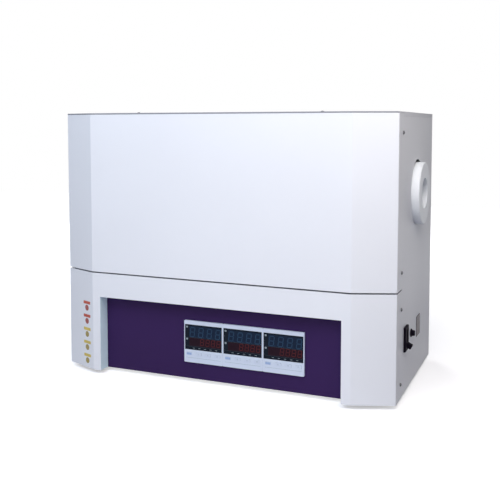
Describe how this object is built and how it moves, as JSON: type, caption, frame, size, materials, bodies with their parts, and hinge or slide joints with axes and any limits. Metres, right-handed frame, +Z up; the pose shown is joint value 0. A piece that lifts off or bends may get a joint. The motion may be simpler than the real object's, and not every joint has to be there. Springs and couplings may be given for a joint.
{
  "type": "tube furnace",
  "caption": "Bench tube furnace with a horizontal round heating channel between end collars, a folded sheet case with chamfered corners, and a recessed control panel.",
  "frame": {"origin": "centre of the footprint on the surface that the feet stand on", "axes": "+X to the right along the heating channel, +Y to the rear (the control panel faces -Y), +Z up"},
  "size_m": [0.834, 0.43, 0.618],
  "materials": {
    "pale_paint": "satin",
    "purple_paint": "satin",
    "plated_steel": "satin",
    "jacket_steel": "satin",
    "dark_screws": "satin",
    "foot_rubber": "matte",
    "foot_steel": "satin",
    "ceramic_fibre": "matte",
    "former_ceramic": "matte",
    "heater_wire": "matte",
    "bezel_plastic": "satin",
    "window_plastic": "gloss",
    "key_rubber": "matte",
    "black_plastic": "satin",
    "bare_plate": "satin",
    "sink_aluminium": "satin"
  },
  "bodies": {
    "root": {"base_plate": "plated_steel", "feet": "foot_rubber", "foot_screws": "foot_steel", "corner_posts": "plated_steel", "top_rails": "plated_steel", "deck_rails": "plated_steel", "deck": "plated_steel", "upper_front_cover": "pale_paint", "lower_front_cover": "pale_paint", "control_panel": "purple_paint", "top_panel": "pale_paint", "left_side_panel": "pale_paint", "right_side_panel": "pale_paint", "rear_upper_panel": "pale_paint", "rear_lower_panel": "pale_paint", "cord_bushing": "black_plastic", "cover_screws": "dark_screws", "rear_screws": "dark_screws", "left_former": "former_ceramic", "middle_former": "former_ceramic", "right_former": "former_ceramic", "left_winding": "heater_wire", "middle_winding": "heater_wire", "right_winding": "heater_wire", "left_controller": "bezel_plastic", "middle_controller": "bezel_plastic", "right_controller": "bezel_plastic", "controller_windows": "window_plastic", "controller_clamps": "plated_steel", "lead_posts": "former_ceramic", "upper_insulation": "ceramic_fibre", "lower_insulation": "ceramic_fibre", "left_end_board": "ceramic_fibre", "right_end_board": "ceramic_fibre", "heater_jacket": "jacket_steel", "saddles": "plated_steel", "thermocouples": "heater_wire", "breaker_body": "black_plastic", "fuse_holder": "black_plastic", "side_plate": "bare_plate", "heat_sink": "sink_aluminium", "power_relays": "black_plastic", "terminal_block": "black_plastic"},
    "left_collar": {"left_collar": "ceramic_fibre"},
    "right_collar": {"right_collar": "ceramic_fibre"},
    "breaker_lever": {"breaker_lever": "black_plastic"},
    "fuse_cap": {"fuse_cap": "black_plastic", "fuse_link": "foot_steel"},
    "left_key_1": {"left_key_1": "key_rubber"},
    "left_key_2": {"left_key_2": "key_rubber"},
    "left_key_3": {"left_key_3": "key_rubber"},
    "left_key_4": {"left_key_4": "key_rubber"},
    "middle_key_1": {"middle_key_1": "key_rubber"},
    "middle_key_2": {"middle_key_2": "key_rubber"},
    "middle_key_3": {"middle_key_3": "key_rubber"},
    "middle_key_4": {"middle_key_4": "key_rubber"},
    "right_key_1": {"right_key_1": "key_rubber"},
    "right_key_2": {"right_key_2": "key_rubber"},
    "right_key_3": {"right_key_3": "key_rubber"},
    "right_key_4": {"right_key_4": "key_rubber"}
  },
  "joints": [
    {"name": "left_collar_pull", "type": "slide", "parent": "root", "child": "left_collar", "axis": [-1, 0, 0], "range_m": [0, 0.12]},
    {"name": "right_collar_pull", "type": "slide", "parent": "root", "child": "right_collar", "axis": [1, 0, 0], "range_m": [0, 0.12]},
    {"name": "breaker_switch", "type": "hinge", "parent": "root", "child": "breaker_lever", "pos_m": [0.378, -0.094, 0.1295], "axis": [0, -1, 0], "range_deg": [0, 52]},
    {"name": "fuse_cap_turn", "type": "hinge", "parent": "root", "child": "fuse_cap", "pos_m": [0.4, -0.029, 0.1254], "axis": [1, 0, 0], "range_deg": [0, 90]},
    {"name": "left_key_1_press", "type": "slide", "parent": "root", "child": "left_key_1", "axis": [0, 1, 0], "range_m": [0, 0.0006], "stiffness_N_per_m": 800, "springref_m": -0.0005},
    {"name": "left_key_2_press", "type": "slide", "parent": "root", "child": "left_key_2", "axis": [0, 1, 0], "range_m": [0, 0.0006], "stiffness_N_per_m": 800, "springref_m": -0.0005},
    {"name": "left_key_3_press", "type": "slide", "parent": "root", "child": "left_key_3", "axis": [0, 1, 0], "range_m": [0, 0.0006], "stiffness_N_per_m": 800, "springref_m": -0.0005},
    {"name": "left_key_4_press", "type": "slide", "parent": "root", "child": "left_key_4", "axis": [0, 1, 0], "range_m": [0, 0.0006], "stiffness_N_per_m": 800, "springref_m": -0.0005},
    {"name": "middle_key_1_press", "type": "slide", "parent": "root", "child": "middle_key_1", "axis": [0, 1, 0], "range_m": [0, 0.0006], "stiffness_N_per_m": 800, "springref_m": -0.0005},
    {"name": "middle_key_2_press", "type": "slide", "parent": "root", "child": "middle_key_2", "axis": [0, 1, 0], "range_m": [0, 0.0006], "stiffness_N_per_m": 800, "springref_m": -0.0005},
    {"name": "middle_key_3_press", "type": "slide", "parent": "root", "child": "middle_key_3", "axis": [0, 1, 0], "range_m": [0, 0.0006], "stiffness_N_per_m": 800, "springref_m": -0.0005},
    {"name": "middle_key_4_press", "type": "slide", "parent": "root", "child": "middle_key_4", "axis": [0, 1, 0], "range_m": [0, 0.0006], "stiffness_N_per_m": 800, "springref_m": -0.0005},
    {"name": "right_key_1_press", "type": "slide", "parent": "root", "child": "right_key_1", "axis": [0, 1, 0], "range_m": [0, 0.0006], "stiffness_N_per_m": 800, "springref_m": -0.0005},
    {"name": "right_key_2_press", "type": "slide", "parent": "root", "child": "right_key_2", "axis": [0, 1, 0], "range_m": [0, 0.0006], "stiffness_N_per_m": 800, "springref_m": -0.0005},
    {"name": "right_key_3_press", "type": "slide", "parent": "root", "child": "right_key_3", "axis": [0, 1, 0], "range_m": [0, 0.0006], "stiffness_N_per_m": 800, "springref_m": -0.0005},
    {"name": "right_key_4_press", "type": "slide", "parent": "root", "child": "right_key_4", "axis": [0, 1, 0], "range_m": [0, 0.0006], "stiffness_N_per_m": 800, "springref_m": -0.0005}
  ]
}
